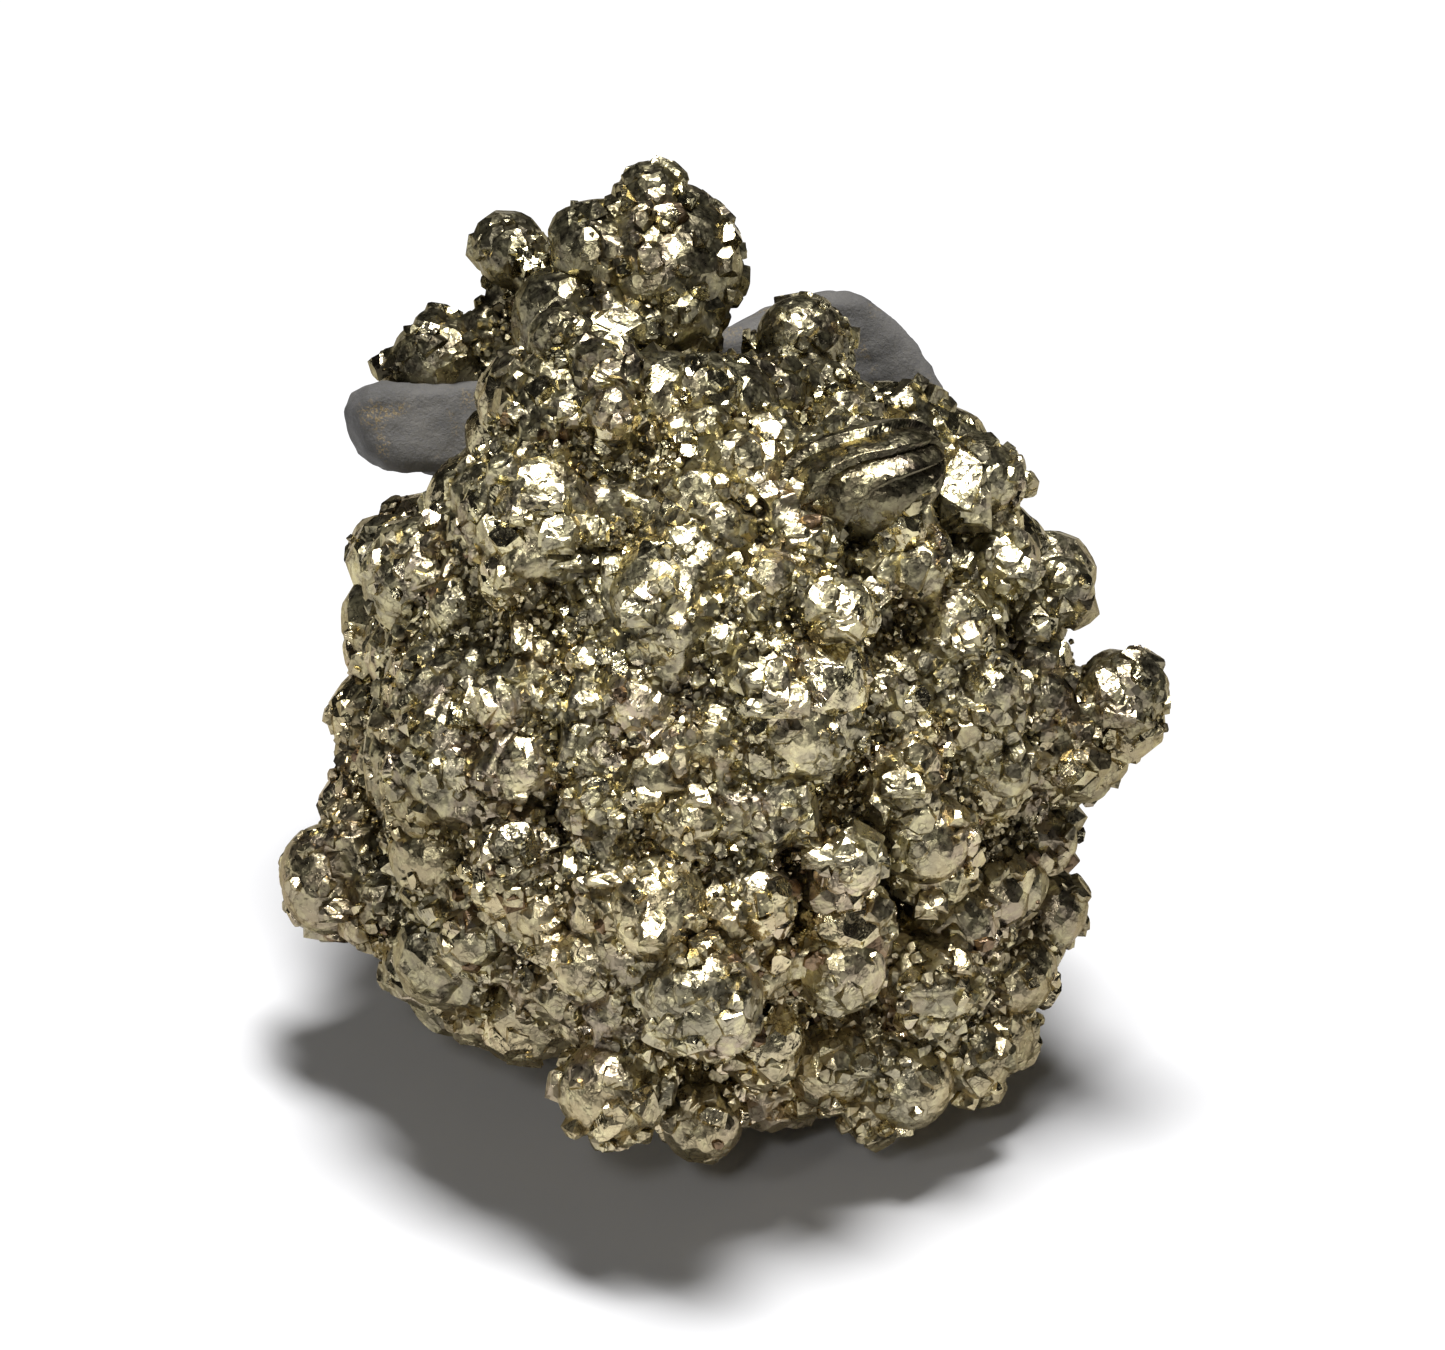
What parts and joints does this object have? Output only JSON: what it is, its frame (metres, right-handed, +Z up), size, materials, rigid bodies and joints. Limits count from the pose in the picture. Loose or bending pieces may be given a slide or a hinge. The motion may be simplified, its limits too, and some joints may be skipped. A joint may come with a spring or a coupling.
{
  "type": "pyrite specimen",
  "caption": "Natural pyrite specimen: rounded, flat-faced brassy crystal lumps grown together round a slab of dull grey rock, resting on a small flat spot.",
  "frame": {"origin": "on the small flat spot that the specimen rests on, near its middle and near the point below the centre of mass", "axes": "+Z up from the resting face; +X across the specimen's main face to its right as the viewer sees it; -Y out towards the viewer, and the main face leans back 30 degrees from vertical"},
  "size_m": [0.0493, 0.0553, 0.0469],
  "materials": {
    "pyrite": "natural crystal faces, brassy olive to bronze, with dark crevices",
    "grey_rock": "dull fine-grained stone with broken edges"
  },
  "bodies": {
    "root": {"pyrite_cluster": "pyrite", "grey_slab": "grey_rock"}
  },
  "joints": []
}
